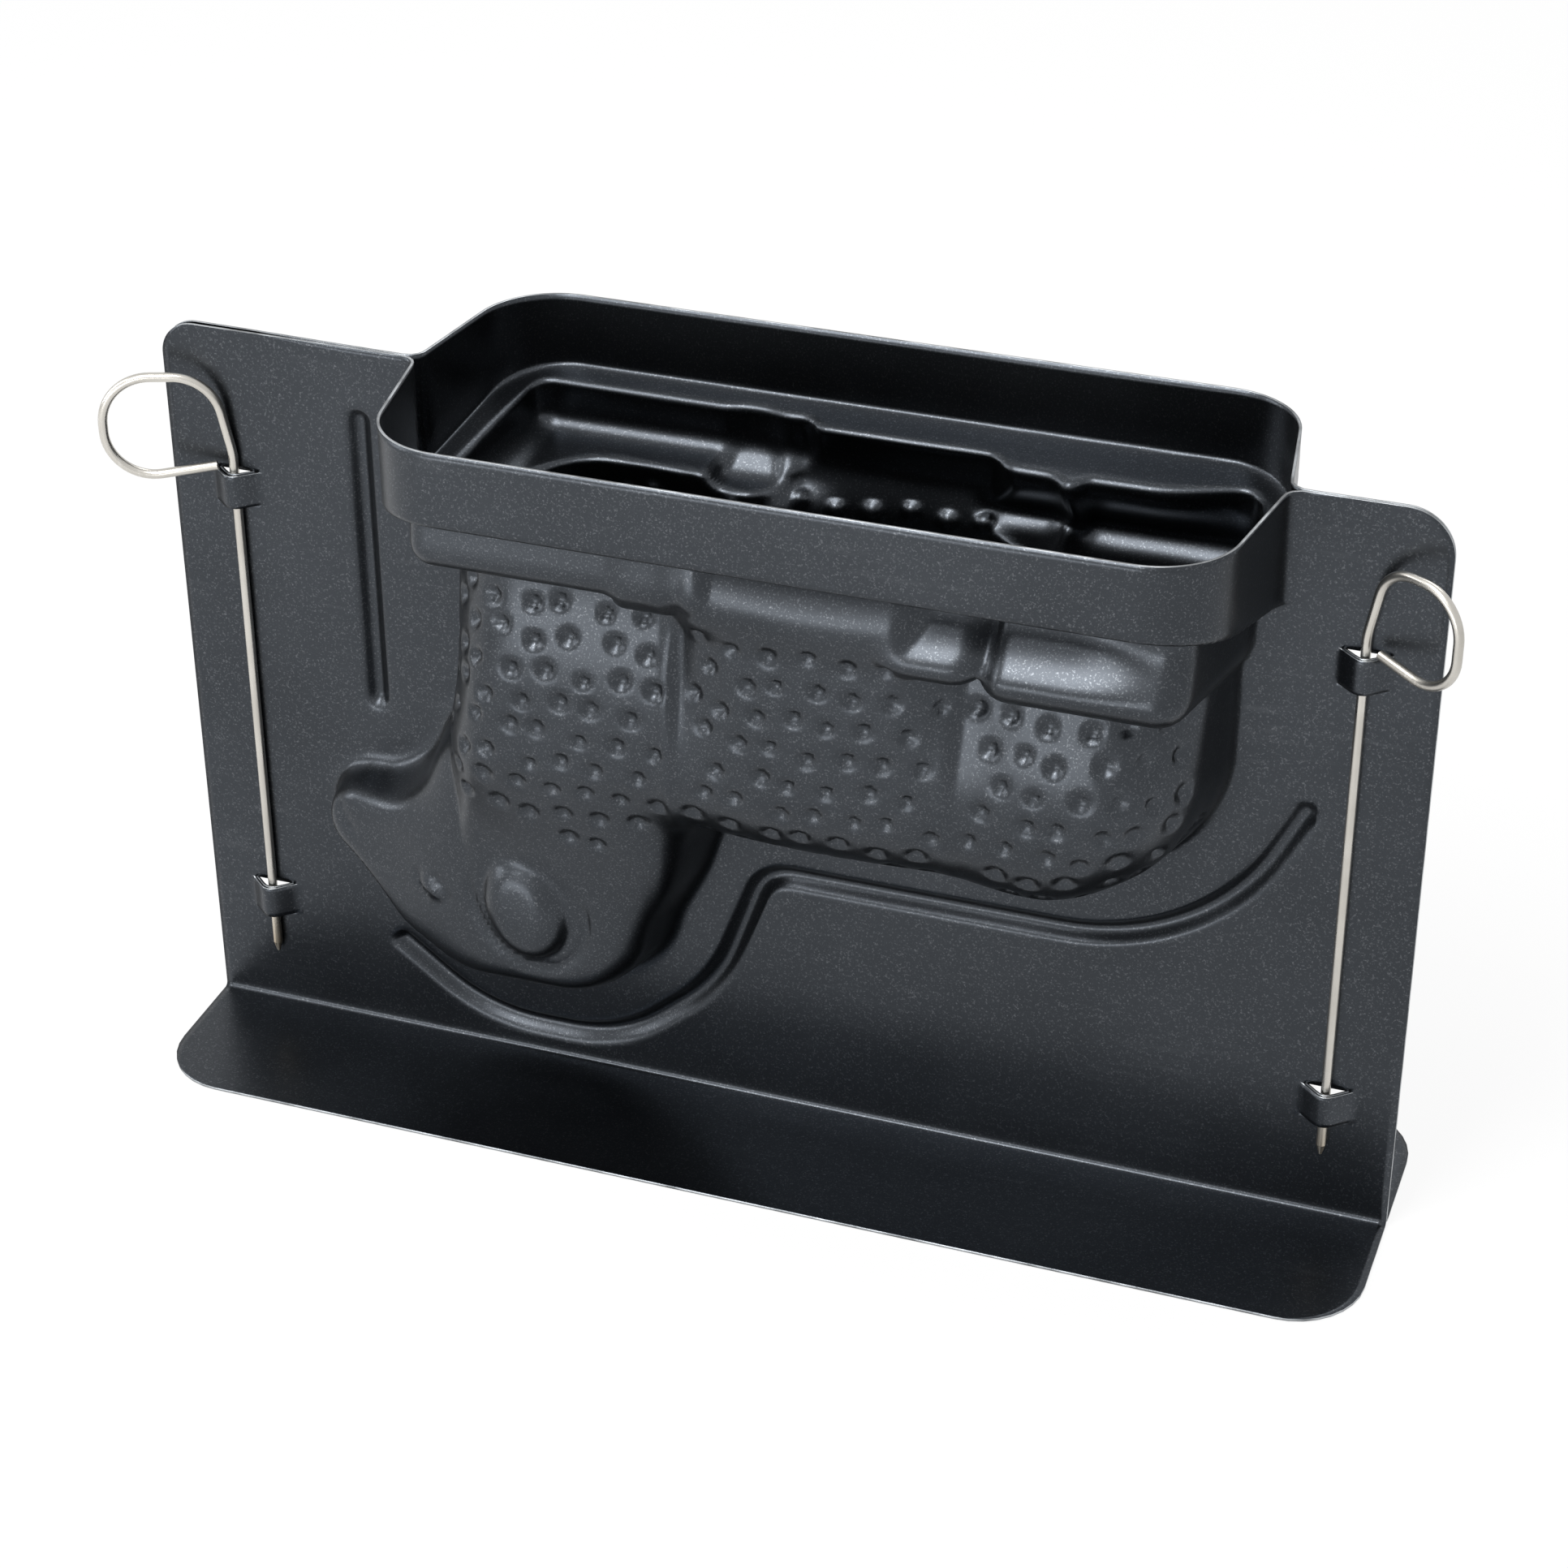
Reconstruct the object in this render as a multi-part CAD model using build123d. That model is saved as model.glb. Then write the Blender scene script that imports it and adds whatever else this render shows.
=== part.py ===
from build123d import *
import os
from math import cos, radians, sin, tan

# A lamb cake mould: two pressed steel halves that meet at a flat flange and
# are locked together by two bent wire pins. It stands upside down on its two
# feet, with the filling mouth on top.
# The frame: +X towards the rump, -Y towards the front half, +Z up. The
# origin is on the surface it stands on, in the parting plane between the
# halves, at the middle of the flange's width.
# All sizes are in millimetres and degrees.

# Pressed sheet
sheet = 0.7
flange_gap = 0.1

# Flange plates and their feet
plate_width = 330.0
plate_height = 204.8
head_side_corner = 9.0
rump_side_corner = 12.0
foot_depth = 46.0
foot_corner = 19.0
foot_bend = 2.0

# Collar round the mouth, which shapes the slab that the cake stands on
collar_depth = 48.3
collar_head_end = -94.6
collar_rump_end = 126.2
collar_corner = 21.0
collar_end_draft = 8.5
collar_height = 29.3
collar_sill_draft = 11.5
collar_sill_round = 1.6

# Body of the lamb, lying upside down
body_depth = 38.0
body_chest = -86.8
body_rump = 118.0
body_back = 93.0
body_chest_corner = 23.0
body_rump_corner = 42.0
body_draft = 9.0
body_round = 15.0

# Upright furrows between the blocks of wool
furrow_places = (-12.0, 59.0)
furrow_depth = 2.6
furrow_radius = 6.0

# Folded legs and their hooves
leg_depth = 42.3
leg_draft = 10.0
leg_corner = 13.0
leg_round = 3.5
fore_leg = (-87.4, -8.0)
fore_leg_underside = 162.5
hind_leg = (56.0, 120.5)
hind_leg_underside = 158.0
fore_hoof = (-27.0, 12.0)
fore_hoof_underside = 157.5
hind_hoof = (32.0, 73.0)
hind_hoof_underside = 157.5
hoof_corner = 15.0
hoof_round = 5.0

# Neck, head and muzzle
neck_depth = 34.0
neck_nape = -18.0
neck_end = 62.0
neck_corner = 26.0
neck_draft = 12.0
neck_round = 16.0
head_depth = 26.5
head_draft = 12.0
head_round = 20.0
head_corner = 28.0
head_top = 118.0
head_top_ends = (-84.0, -10.0)
brow = (-111.0, 56.0)
crown = 32.5
crown_ends = (-86.0, -33.0)
muzzle_depth = 20.0
muzzle_draft = 11.0
muzzle_round = 7.0
muzzle_tip = -124.6
muzzle_top = 84.5
muzzle_chin = 66.8
muzzle_root = (-100.0, 45.0)
muzzle_corner = 12.0

# Ear and eye, raised from the head
ear_centre = (-60.0, 66.0)
ear_width = 30.0
ear_length = 37.0
ear_depth = 30.5
ear_base = 10.0
ear_draft = 12.0
ear_round = 3.5
eye_centre = (-88.5, 63.0)
eye_width = 9.0
eye_length = 6.0
eye_depth = 27.6
eye_base = 22.0
eye_draft = 3.0
eye_round = 0.8

# Stiffening grooves pressed into both flanges
groove_width = 4.8
groove_floor = 2.4
groove_depth = 1.2
rib_line = -111.4
rib_ends = (104.5, 184.5)
sweep_start = (-108.5, 28.0)
sweep_low = 9.6
sweep_low_ends = (-84.5, -46.0)
sweep_nape = (-17.3, 34.3)
sweep_back = 72.3
sweep_back_ends = (-3.5, 112.3)
sweep_end = (135.5, 118.5)
sweep_rounds = (45.0, 40.0, 50.0, 10.0, 60.0)

# Lanced loops that the pins pass through
loop_place = 146.8
loop_width = 13.6
loop_height = 9.2
loop_rise = 4.8
loop_crown = 2.6
loop_bend = 1.0
loop_feet = (30.5, 156.5)

# Wire pins
wire = 2.5
pin_clearance = 0.15
pin_point = 3.0
pin_point_width = 0.9
pin_shoulder = 171.0
pin_lean_round = 20.0
ring_mouth_gap = 1.6
ring_end_rise = 4.6
left_pin_tip = 17.5
left_ring_turn = 19.6
left_ring_reach = 32.4
left_ring_low = 162.9
left_ring_top = 192.3
left_ring_lean = 3.9
left_ring_round = 12.0
right_pin_tip = 20.0
right_ring_turn = 28.4
right_ring_reach = 26.0
right_ring_low = 162.9
right_ring_top = 190.6
right_ring_lean = 4.2
right_ring_round = 9.5

# Where the sheets, the pins and the foot of the collar lie, from the sizes above
mate = flange_gap / 2
flange_face = mate + sheet
pin_line = flange_face + pin_clearance + wire / 2
collar_sill = plate_height - collar_height


def rounded_pad(corners, rounds, depth, draft, edge_round, inset):
    """A drafted pad that rises from the parting plane towards -Y and ends in a rounded edge."""
    outline = FilletPolyline(*corners, radius=rounds, close=True)
    face = Plane.XZ * make_face(outline.edges())
    if inset > 0:
        face = offset(face, -inset / cos(radians(draft)), kind=Kind.INTERSECTION)
    pad = extrude(face, depth - inset, taper=draft)
    crest = pad.faces().sort_by(Axis.Y)[0]
    return fillet(crest.edges(), edge_round - inset)


def oval_pad(centre, width, length, base, depth, draft, edge_round, inset):
    """A drafted oval bump that rises towards -Y from a base inside the form."""
    sketch = Pos(*centre) * Ellipse(width / 2 - inset, length / 2 - inset)
    face = Plane.XZ.offset(base) * sketch
    pad = extrude(face, depth - base - inset, taper=draft)
    crest = pad.faces().sort_by(Axis.Y)[0]
    return fillet(crest.edges(), edge_round)


def collar_form(inset):
    """The straight band round the mouth, with drafted ends and a drafted sill."""
    front = collar_depth - inset
    lean = front * tan(radians(collar_end_draft))
    side = inset / cos(radians(collar_end_draft))
    head_end = collar_head_end + side
    rump_end = collar_rump_end - side
    corner = collar_corner - inset
    plan = FilletPolyline(
        (head_end, 0),
        (head_end + lean, -front),
        (rump_end - lean, -front),
        (rump_end, 0),
        radius=[0, corner, corner, 0],
        close=True,
    )
    tall = plate_height - collar_sill + collar_corner
    block = Pos(0, 0, plate_height + collar_corner - 2 * tall) * extrude(make_face(plan.edges()), 2 * tall)
    sill = Plane(
        origin=(0, 0, collar_sill + inset / cos(radians(collar_sill_draft))),
        x_dir=(1, 0, 0),
        z_dir=(0, sin(radians(collar_sill_draft)), cos(radians(collar_sill_draft))),
    )
    band = split(block, sill, keep=Keep.TOP)
    sill_face = band.faces().sort_by(Axis.Z)[0]
    step = [edge for edge in sill_face.edges() if edge.center().Y < -mate]
    return fillet(step, collar_sill_round)


def body_form(inset):
    """The woolly body from the chest to the rump, with its back at the bottom."""
    high = collar_sill + collar_corner
    corners = [(body_chest, high), (body_chest, body_back), (body_rump, body_back), (body_rump, high)]
    rounds = [body_chest_corner, body_chest_corner, body_rump_corner, body_chest_corner]
    return rounded_pad(corners, rounds, body_depth, body_draft, body_round, inset)


def furrow_form(place, inset):
    """The upright hollow between two blocks of wool."""
    radius = furrow_radius + inset
    line = -(body_depth + furrow_radius - furrow_depth)
    low = body_back - furrow_radius
    high = fore_hoof_underside
    shaft = Cylinder(radius, high - low, align=(Align.CENTER, Align.CENTER, Align.MIN))
    return Pos(place, line, low) * shaft + Pos(place, line, high) * Sphere(radius)


def limb_form(ends, underside, corner, edge_round, inset):
    """One folded leg or hoof, from its underside up into the collar."""
    high = collar_sill + collar_corner
    corners = [(ends[0], high), (ends[0], underside), (ends[1], underside), (ends[1], high)]
    return rounded_pad(corners, corner, leg_depth, leg_draft, edge_round, inset)


def neck_form(inset):
    """The neck, from the body down to the head."""
    high = body_back + body_rump_corner
    corners = [(body_chest, high), (body_chest, neck_end), (neck_nape, neck_end), (neck_nape, high)]
    return rounded_pad(corners, neck_corner, neck_depth, neck_draft, neck_round, inset)


def head_form(inset):
    """The smooth head, with the crown lowest."""
    corners = [
        (head_top_ends[0], head_top),
        brow,
        (crown_ends[0], crown),
        (crown_ends[1], crown),
        (head_top_ends[1], head_top),
    ]
    return rounded_pad(corners, head_corner, head_depth, head_draft, head_round, inset)


def muzzle_form(inset):
    """The muzzle, pointing away from the body."""
    corners = [
        (muzzle_tip, muzzle_top),
        (muzzle_tip, muzzle_chin),
        muzzle_root,
        (ear_centre[0], muzzle_root[1]),
        (ear_centre[0], muzzle_top),
    ]
    return rounded_pad(corners, muzzle_corner, muzzle_depth, muzzle_draft, muzzle_round, inset)


def lamb_form(inset):
    """The whole form that one half is drawn to, from the collar to the muzzle."""
    form = body_form(inset) + neck_form(inset) + head_form(inset) + muzzle_form(inset)
    for place in furrow_places:
        form = form - furrow_form(place, inset)
    form = form + limb_form(fore_leg, fore_leg_underside, leg_corner, leg_round, inset)
    form = form + limb_form(hind_leg, hind_leg_underside, leg_corner, leg_round, inset)
    form = form + limb_form(fore_hoof, fore_hoof_underside, hoof_corner, hoof_round, inset)
    form = form + limb_form(hind_hoof, hind_hoof_underside, hoof_corner, hoof_round, inset)
    form = form + oval_pad(ear_centre, ear_width, ear_length, ear_base, ear_depth, ear_draft, ear_round, inset)
    form = form + oval_pad(eye_centre, eye_width, eye_length, eye_base, eye_depth, eye_draft, eye_round, inset)
    return form + collar_form(inset)


def flange_form():
    """One flat flange with its foot, facing -Y, before anything is pressed into it."""
    side_view = FilletPolyline(
        (-mate, plate_height),
        (-mate, 0),
        (-foot_depth, 0),
        (-foot_depth, sheet),
        (-flange_face, sheet),
        (-flange_face, plate_height),
        radius=[0, foot_bend, 0, 0, foot_bend - sheet, 0],
        close=True,
    )
    plate = Pos(-plate_width / 2, 0, 0) * extrude(Plane.YZ * make_face(side_view.edges()), plate_width)
    upright = plate.edges().filter_by(Axis.Y).filter_by(lambda edge: edge.center().Z > plate_height - mate)
    plate = fillet([upright.sort_by(Axis.X)[0]], head_side_corner)
    upright = plate.edges().filter_by(Axis.Y).filter_by(lambda edge: edge.center().Z > plate_height - mate)
    plate = fillet([upright.sort_by(Axis.X)[-1]], rump_side_corner)
    tips = plate.edges().filter_by(Axis.Z).filter_by(lambda edge: edge.center().Y < -foot_depth + mate)
    return fillet(tips, foot_corner)


def groove_paths():
    """The centre lines of the two grooves, in the plane of the flange."""
    rib = Line((rib_line, rib_ends[1]), (rib_line, rib_ends[0]))
    outline = FilletPolyline(
        sweep_start,
        (sweep_low_ends[0], sweep_low),
        (sweep_low_ends[1], sweep_low),
        sweep_nape,
        (sweep_back_ends[0], sweep_back),
        (sweep_back_ends[1], sweep_back),
        sweep_end,
        radius=sweep_rounds,
    )
    return [rib, outline]


def groove_form(face_y):
    """Both grooves as solids, sunk towards +Y from the sheet face at face_y."""
    wide = groove_width / 2
    narrow = groove_floor / 2
    section = Polyline((-wide, -sheet / 2), (wide, -sheet / 2), (wide, 0), (narrow, groove_depth),
                       (-narrow, groove_depth), (-wide, 0), close=True)
    grooves = []
    for path in groove_paths():
        line = Pos(0, face_y, 0) * (Plane.XZ * Wire(path.edges()))
        start = Plane(origin=line @ 0, x_dir=(line % 0).cross(Vector(0, 1, 0)), z_dir=line % 0)
        if start.y_dir.Y < 0:
            start = Plane(origin=start.origin, x_dir=-start.x_dir, z_dir=start.z_dir)
        groove = sweep(start * make_face(section.edges()), path=line)
        for end in (line @ 0, line @ 1):
            seat = Plane(origin=end, z_dir=(0, 1, 0))
            tip = Cone(wide, narrow, groove_depth, align=(Align.CENTER, Align.CENTER, Align.MIN))
            lead = Cylinder(wide, sheet / 2, align=(Align.CENTER, Align.CENTER, Align.MAX))
            groove = groove + seat * (tip + lead)
        grooves.append(groove)
    return grooves[0] + grooves[1]


def loop_places():
    """The centre and foot height of each of the four loops."""
    return [(x, z) for x in (-loop_place, loop_place) for z in loop_feet]


def loop_form(x, z, face_y):
    """One strip lanced towards -Y from the sheet whose front face is at face_y."""
    half = loop_width / 2
    crown = loop_crown / 2
    back_y = face_y + sheet
    section = FilletPolyline(
        (-half, face_y),
        (-crown, face_y - loop_rise),
        (crown, face_y - loop_rise),
        (half, face_y),
        (half, back_y),
        (crown, back_y - loop_rise),
        (-crown, back_y - loop_rise),
        (-half, back_y),
        radius=[0, loop_bend, loop_bend, 0, 0, loop_bend, loop_bend, 0],
        close=True,
    )
    return Pos(x, 0, z) * extrude(make_face(section.edges()), loop_height)


def window_form(x, z):
    """The slot that a loop leaves in both flanges."""
    align = (Align.CENTER, Align.CENTER, Align.MIN)
    return Pos(x, 0, z) * Box(loop_width, 4 * flange_face, loop_height, align=align)


def half_form(outer, inner, front_half):
    """One pressed half. Both are drawn from the same form, but every loop and groove points the same way."""
    flange = flange_form()
    room = Box(2 * plate_width, plate_width, plate_height, align=(Align.CENTER, Align.MAX, Align.MIN))
    shell = outer & (Pos(0, -mate, 0) * room)
    hollow = inner
    face_y = -flange_face
    if not front_half:
        flange = mirror(flange, about=Plane.XZ)
        shell = mirror(shell, about=Plane.XZ)
        hollow = mirror(hollow, about=Plane.XZ)
        face_y = mate
    grooves = groove_form(face_y)
    half = flange + Pos(0, sheet, 0) * grooves
    half = half - grooves
    half = half + shell
    half = half - hollow
    for x, z in loop_places():
        half = half - window_form(x, z)
        half = half + loop_form(x, z, face_y)
    return half


def pin_form(place, tip, turn, reach, low, top, lean, ring_round):
    """One wire pin: a straight shaft with a blunt point and a bent ring to pull it by."""
    outward = -1 if place < 0 else 1
    heading = Vector(outward * cos(radians(turn)), -sin(radians(turn)), 0)
    plane = Plane(origin=(place, -pin_line, 0), x_dir=heading, z_dir=heading.cross(Vector(0, 0, 1)))
    middle = (top - low) / 2
    path = FilletPolyline(
        (0, tip + pin_point),
        (0, pin_shoulder),
        (lean, top),
        (reach, top),
        (reach, low),
        (wire + ring_mouth_gap, low + ring_end_rise),
        radius=[pin_lean_round, ring_round, min(middle, reach / 2) - ring_mouth_gap, ring_round],
    )
    line = plane * Wire(path.edges())
    section = Plane(origin=line @ 0, z_dir=line % 0) * Circle(wire / 2)
    point = Cone(pin_point_width / 2, wire / 2, pin_point, align=(Align.CENTER, Align.CENTER, Align.MIN))
    return sweep(section, path=line) + Pos(place, -pin_line, tip) * point


def named(solid, name):
    """Write one sub-part to its file."""
    solid.label = name
    export_step(solid, os.path.join("parts", name + ".step"))
    print(name, round(solid.volume), len(solid.solids()))


def main():
    os.makedirs("parts", exist_ok=True)
    outer = lamb_form(0)
    inner = lamb_form(sheet)
    named(half_form(outer, inner, True), "front_half")
    named(half_form(outer, inner, False), "back_half")
    left_ring = (left_ring_turn, left_ring_reach, left_ring_low, left_ring_top, left_ring_lean, left_ring_round)
    named(pin_form(-loop_place, left_pin_tip, *left_ring), "left_pin")
    right_ring = (right_ring_turn, right_ring_reach, right_ring_low, right_ring_top, right_ring_lean,
                  right_ring_round)
    named(pin_form(loop_place, right_pin_tip, *right_ring), "right_pin")


if __name__ == "__main__":
    main()
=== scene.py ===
"""The looks of a lamb cake mould: two drawn steel halves held together by two wire pins."""

from collections import namedtuple
from math import cos, pi, radians, sin, tan

import bmesh
import bpy
import numpy as np
from bpy.props import FloatProperty, FloatVectorProperty, IntProperty, PointerProperty
from mathutils import Matrix, Vector


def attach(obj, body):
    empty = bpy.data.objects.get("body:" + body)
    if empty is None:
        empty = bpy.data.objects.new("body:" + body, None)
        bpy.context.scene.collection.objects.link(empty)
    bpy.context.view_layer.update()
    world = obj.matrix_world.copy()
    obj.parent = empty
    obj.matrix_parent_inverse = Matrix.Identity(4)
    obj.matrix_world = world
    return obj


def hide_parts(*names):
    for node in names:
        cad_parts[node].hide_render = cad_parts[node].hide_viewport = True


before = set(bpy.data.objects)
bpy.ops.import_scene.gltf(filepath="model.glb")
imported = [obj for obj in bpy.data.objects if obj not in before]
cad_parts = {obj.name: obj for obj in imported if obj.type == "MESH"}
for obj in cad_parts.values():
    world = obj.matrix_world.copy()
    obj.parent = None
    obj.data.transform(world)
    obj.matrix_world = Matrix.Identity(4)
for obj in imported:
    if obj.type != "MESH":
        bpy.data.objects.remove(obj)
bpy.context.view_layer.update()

bl_info = {
    "name": "Lamb Cake Mould",
    "version": (1, 0, 0),
    "blender": (4, 5, 0),
    "location": "View3D > Sidebar > Cake Mould",
    "description": "Builds a two part lamb cake mould with its locking pins",
    "category": "Add Mesh",
}

MM = 0.001
FAR = 1e9

# Sheet and flange, in millimetres, with the origin under the parting plane
SHEET = 0.7
FACE = 0.75
HALF_WIDTH = 165.0
TOP = 204.8
HEAD_SIDE_CORNER = 9.0
RUMP_SIDE_CORNER = 12.0
FOOT_DEPTH = 46.0
FOOT_CORNER = 19.0
BEND = 1.3
BEND_LENGTH = BEND * pi / 2
FOOT_FLAT = FOOT_DEPTH - FACE - BEND
BACK_SPRING = 1.1

# The part of each flange that the lamb is drawn from, and the steps of its mesh
FORM_LEFT = -137.0
FORM_RIGHT = 138.0
FORM_LOW = 4.5
FOOT_ROUND = 3.0
COLUMNS = 232
ROWS = 164
SETTLE_SHARE = 0.85
SETTLE_ROUNDS = (300, 160, 100)
PLATE_WEIGHT = 0.55
FORM_WEIGHT = 0.45
GROOVE_WEIGHT = 2.2
WOOL_WEIGHT = 0.9
SILL_WEIGHT = 0.5
STEEPEST = 6

# Loops that the pins pass through, and how their strips stand out of each half
Strip = namedtuple("Strip", "rise crown half")
LOOP_PLACE = 146.8
LOOP_FEET = (30.5, 156.5)
LOOP_HEIGHT = 9.2
LOOP_HALF = 6.8
LOOP_STEPS = (8.4, LOOP_HALF, 5.4, 3.9, 2.4, 1.2)
FRONT_STRIP = Strip(rise=4.8, crown=1.3, half=6.8)
BACK_STRIP = Strip(rise=4.75, crown=0.9, half=6.25)

# The body, whose back is its lowest line, and the mouth that it opens into
MOUTH = 196.5
BODY_LEFT = -82.0
BODY_RIGHT = 118
BODY_BACK = 93
BODY_DEPTH = 38.6
CHEST_ROUND = 23
RUMP_ROUND = 42
BEYOND_LEFT = -300
BEYOND_TOP = 400
NECK_SLOPE = 0.34
CHEST_SLOPE = 0.27
END_FALL = 8.6
MIDDLE_RISE = 3.4

# Blocks of wool, by middle and half width, with the furrows between them and their dents
WOOL_BLOCKS = ((-50, 40), (24, 38), (88, 34))
BLOCK_RISE = 2.2
FURROWS = (-12.0, 59.0)
FURROW_DROPS = (3.6, 2.1)
FURROW_START = 4.4
FURROW_LOW = 0.4
FURROW_END = 18
FURROW_HALF = 3.2
WOOL_LEFT = -86
WOOL_TOP = 161.0
WOOL_ROWS = 10
DENT_ROW = 8.6
DENT_STEP = 9.6

# Folded legs and their hooves
Limb = namedtuple("Limb", "left right underside corner edge_round depth")
FORE_LEG = Limb(left=-87.4, right=4, underside=162.5, corner=13, edge_round=6.0, depth=42.3)
FORE_HOOF = Limb(left=-36, right=-4, underside=158.5, corner=11, edge_round=9, depth=42.0)
HIND_LEG = Limb(left=56, right=120.5, underside=151.5, corner=15, edge_round=9.0, depth=44.6)
HIND_HOOF = Limb(left=30, right=73, underside=153.5, corner=17, edge_round=9, depth=44.2)
FORE_FALL = 1.2
HIND_FALL = 10.5
ANKLE_CREASE = 1.3

# Neck and head
NECK_OUTLINE = ((-82.0, 135), (-82.0, 60), (-17, 60), (-17, 135))
MUZZLE_OUTLINE = ((-124.6, 84.5), (-124.6, 66.8), (-100, 45), (-60, 45), (-60, 84.5))
HEAD_OUTLINE = ((-84, 118), (-111, 56), (-86, 32.5), (-33, 32.5), (-10, 118))
NECK_ROUND = 27
MUZZLE_ROUND = 12
HEAD_ROUND = 28
TORSO_BLEND = 14
HEAD_DEPTH = 27
CHEEK_DEPTH = 27.6
CHEEK_SLOPE = 0.36
THROAT_DEPTH = 12
EAR_X = -60
EAR_Z = 66
EAR_HALF = 15
EAR_REACH = 18.5
EAR_LEAN = 0.12
EAR_DEPTH = 22.6
EAR_LIFT = 10
EAR_SINK = 2.6
EAR_CREASE = 1.5
EYE_X = -88.5
EYE_Z = 63
EYE_TILT = radians(24)
EYE_HALF = 4.6
EYE_REACH = 2.6
EYE_BULGE = 1.7
EYE_RIM = 0.7
LIP_DEPTH = 0.9

# The band round the mouth, and the stiffening grooves
COLLAR_LEFT = -94.6
COLLAR_RIGHT = 126.2
COLLAR_DEPTH = 48.3
SILL = 174.4
GROOVE_DEPTH = 2.8
GROOVE_HALF = 4.2

# Colours that the wire takes on from heat, dirt and handling
HEATED_STEEL = (0.46, 0.38, 0.27, 1.0)
DULL_STEEL = (0.36, 0.34, 0.30, 1.0)
RUBBED_STEEL = (0.75, 0.74, 0.71, 1.0)
WHITE = (1, 1, 1, 1)

# Lamps of the studio, in metres and watts, and the point that they face
Lamp = namedtuple("Lamp", "name place size power")
LAMPS = (
    Lamp("Key", place=(-0.30, -0.80, 1.30), size=(0.6, 0.8), power=17.5),
    Lamp("Front", place=(-0.45, -1.30, 0.22), size=(1.0, 0.4), power=5.0),
    Lamp("Fill", place=(-1.05, -0.35, 0.60), size=(0.4, 0.8), power=4.0),
    Lamp("Back", place=(0.10, 0.70, 1.2), size=(1.0, 0.4), power=4.0),
)
LAMP_AIM = (0, 0, 0.1)

# The camera, as solved from the corners of the flange and the foot, with its lens in pixels of the frame
CAMERA_PLACE = (0.266286, -0.743692, 0.58537)
CAMERA_TURN = radians(19.586)
CAMERA_CLIMB = radians(31.588)
CAMERA_ROLL = radians(-0.296)
CAMERA_FOCAL = 4478.7
FRAME_WIDTH = 1932
SENSOR_WIDTH = 36.0


class MouldSheet(bpy.types.PropertyGroup):
    """Sizes of the drawn sheet."""

    thickness: FloatProperty(
        name="Thickness", description="Thickness of the steel sheet", default=SHEET * MM,
        min=0.0002, max=0.002, precision=4, unit="LENGTH")
    dent_depth: FloatProperty(
        name="Dent Depth", description="Depth of the dents that make the wool", default=1.75 * MM,
        min=0.0, max=0.002, precision=4, unit="LENGTH")
    dent_width: FloatProperty(
        name="Dent Width", description="Width of one dent in the wool", default=5.3 * MM,
        min=0.001, max=0.01, precision=4, unit="LENGTH")
    columns: IntProperty(
        name="Columns", description="Steps of the mesh across the drawn form", default=COLUMNS,
        min=60, max=300)
    rows: IntProperty(
        name="Rows", description="Steps of the mesh up the drawn form", default=ROWS, min=82, max=246)


class MouldFinish(bpy.types.PropertyGroup):
    """Colours of the coating and the steel."""

    coating: FloatVectorProperty(
        name="Coating", description="Colour of the non-stick coating", subtype="COLOR", size=4,
        default=(0.049, 0.054, 0.061, 1.0), min=0.0, max=1.0)
    flake: FloatVectorProperty(
        name="Flakes", description="Colour of the fine metal flakes in the coating", subtype="COLOR", size=4,
        default=(0.19, 0.20, 0.215, 1.0), min=0.0, max=1.0)
    cut_edge: FloatVectorProperty(
        name="Cut Edge", description="Colour of the bare steel at the cut edges", subtype="COLOR", size=4,
        default=(0.42, 0.44, 0.46, 1.0), min=0.0, max=1.0)
    wire: FloatVectorProperty(
        name="Wire", description="Colour of the wire pins", subtype="COLOR", size=4,
        default=(0.56, 0.54, 0.50, 1.0), min=0.0, max=1.0)


# How the sheet is drawn

def inside_polygon(x, z, corners, rounding):
    """The distance inside a rounded convex outline, below zero outside it."""
    points = np.array(corners, float)
    middle = points.mean(0)
    following = np.roll(points, -1, 0)
    along = following - points
    along /= np.linalg.norm(along, axis=1)[:, None]
    inward = np.stack([-along[:, 1], along[:, 0]], 1)
    facing = np.sign(((middle - points) * inward).sum(1))
    inward *= facing[:, None]
    offset = (points * inward).sum(1) + rounding
    shrunk = []
    for k in range(len(points)):
        pair = np.array([inward[k - 1], inward[k]])
        shrunk.append(np.linalg.solve(pair, np.array([offset[k - 1], offset[k]])))
    shrunk = np.array(shrunk)
    depth = np.full(x.shape, FAR)
    gap = np.full(x.shape, FAR)
    for k in range(len(points)):
        depth = np.minimum(depth, x * inward[k, 0] + z * inward[k, 1] - offset[k])
        gap = np.minimum(gap, run_distance(x, z, shrunk[k], shrunk[(k + 1) % len(points)]))
    return rounding + np.where(depth > 0, depth, -gap)


def run_distance(x, z, start, end):
    """The distance of each place from a straight run between two points."""
    edge = end - start
    share = np.clip(((x - start[0]) * edge[0] + (z - start[1]) * edge[1]) / max(edge @ edge, 1e-9), 0, 1)
    return np.hypot(x - start[0] - share * edge[0], z - start[1] - share * edge[1])


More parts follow.
